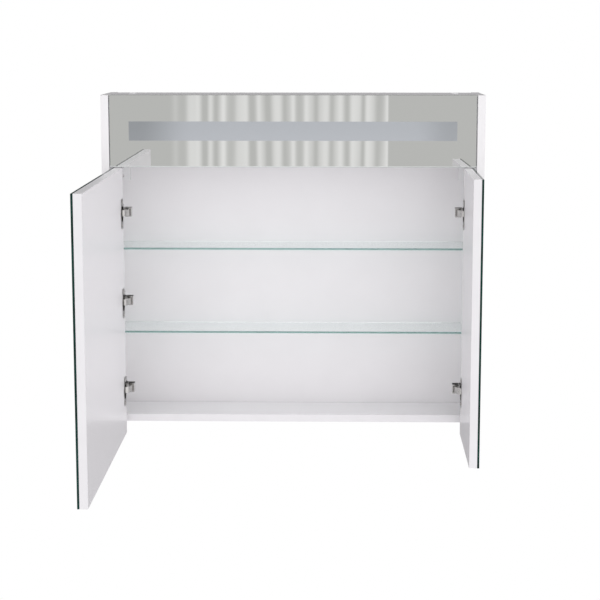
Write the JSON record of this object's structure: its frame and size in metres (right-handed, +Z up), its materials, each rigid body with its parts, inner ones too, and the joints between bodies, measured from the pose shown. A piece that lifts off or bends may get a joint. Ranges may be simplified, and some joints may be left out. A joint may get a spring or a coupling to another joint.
{
  "type": "mirror cabinet",
  "caption": "Wall-hung bathroom mirror cabinet with a fixed lit mirror band above mirror doors on concealed hinges, glass shelves inside.",
  "frame": {"origin": "on the wall plane, midway between the two wall hooks, at the height where they bear on the wall rail", "axes": "+X to the right seen from the front, +Y into the wall, +Z up"},
  "size_m": [0.8, 0.65, 0.7275],
  "materials": {
    "white_board": "white melamine-faced chipboard, satin gloss",
    "gloss_board": "white high-gloss lacquered board",
    "back_board": "white coated hardboard, satin",
    "fixed_mirror": "silvered glass with a frosted strip across it",
    "door_mirror": "silvered glass with polished green edges",
    "shelf_glass": "clear float glass with polished edges",
    "shelf_support": "nickel-plated, satin",
    "nickel": "nickel-plated pressed steel, bright",
    "zinc_steel": "zinc-plated steel",
    "white_plastic": "moulded white plastic, matt",
    "opal": "opal acrylic, translucent",
    "aluminium": "extruded, natural anodised",
    "led_board": "white solder resist with light-emitting chips",
    "driver_case": "light grey plastic, matt",
    "black_rubber": "matt"
  },
  "bodies": {
    "cabinet": {"back_panel": "back_board", "bottom_panel": "white_board", "cable_grommet": "black_rubber", "fixed_mirror": "fixed_mirror", "hanger_cover_left": "white_plastic", "hanger_cover_right": "white_plastic", "hinge_arm_left_high": "nickel", "hinge_arm_left_low": "nickel", "hinge_arm_left_middle": "nickel", "hinge_arm_right_high": "nickel", "hinge_arm_right_low": "nickel", "hinge_plate_left_high": "nickel", "hinge_plate_left_low": "nickel", "hinge_plate_left_middle": "nickel", "hinge_plate_right_high": "nickel", "hinge_plate_right_low": "nickel", "led_board": "led_board", "led_channel": "aluminium", "led_driver": "driver_case", "light_box_floor": "white_board", "light_diffuser": "opal", "mirror_carrier": "white_board", "shelf_lower": "shelf_glass", "shelf_support_lower_left_front": "shelf_support", "shelf_support_lower_left_rear": "shelf_support", "shelf_support_lower_right_front": "shelf_support", "shelf_support_lower_right_rear": "shelf_support", "shelf_support_upper_left_front": "shelf_support", "shelf_support_upper_left_rear": "shelf_support", "shelf_support_upper_right_front": "shelf_support", "shelf_support_upper_right_rear": "shelf_support", "shelf_upper": "shelf_glass", "side_panel_left": "white_board", "side_panel_right": "white_board", "top_cap_left": "white_plastic", "top_cap_right": "white_plastic", "top_panel": "white_board", "wall_hook_left": "zinc_steel", "wall_hook_right": "zinc_steel"},
    "left_door": {"door_board_left": "gloss_board", "door_mirror_left": "door_mirror", "hinge_cup_left_high": "nickel", "hinge_cup_left_low": "nickel", "hinge_cup_left_middle": "nickel"},
    "left_links": {"hinge_link_left_high": "nickel", "hinge_link_left_low": "nickel", "hinge_link_left_middle": "nickel"},
    "right_door": {"door_board_right": "gloss_board", "door_mirror_right": "door_mirror", "hinge_cup_right_high": "nickel", "hinge_cup_right_low": "nickel"},
    "right_links": {"hinge_link_right_high": "nickel", "hinge_link_right_low": "nickel"}
  },
  "joints": [
    {"name": "left_door_swing", "type": "hinge", "parent": "cabinet", "child": "left_door", "pos_m": [-0.374, -0.146, -0.27], "axis": [0, 0, 1], "range_deg": [-10, 90]},
    {"name": "left_link_turn", "type": "hinge", "parent": "cabinet", "child": "left_links", "pos_m": [-0.3455, -0.126, -0.27], "axis": [0, 0, 1], "range_deg": [-32, 4]},
    {"name": "right_door_swing", "type": "hinge", "parent": "cabinet", "child": "right_door", "pos_m": [0.374, -0.146, -0.27], "axis": [0, 0, -1], "range_deg": [-11, 89]},
    {"name": "right_link_turn", "type": "hinge", "parent": "cabinet", "child": "right_links", "pos_m": [0.3455, -0.126, -0.27], "axis": [0, 0, -1], "range_deg": [-32, 4]}
  ],
  "couplings": [
    {"joint": "left_link_turn", "follows": "left_door_swing", "ratio": -0.35},
    {"joint": "right_link_turn", "follows": "right_door_swing", "ratio": -0.35}
  ]
}
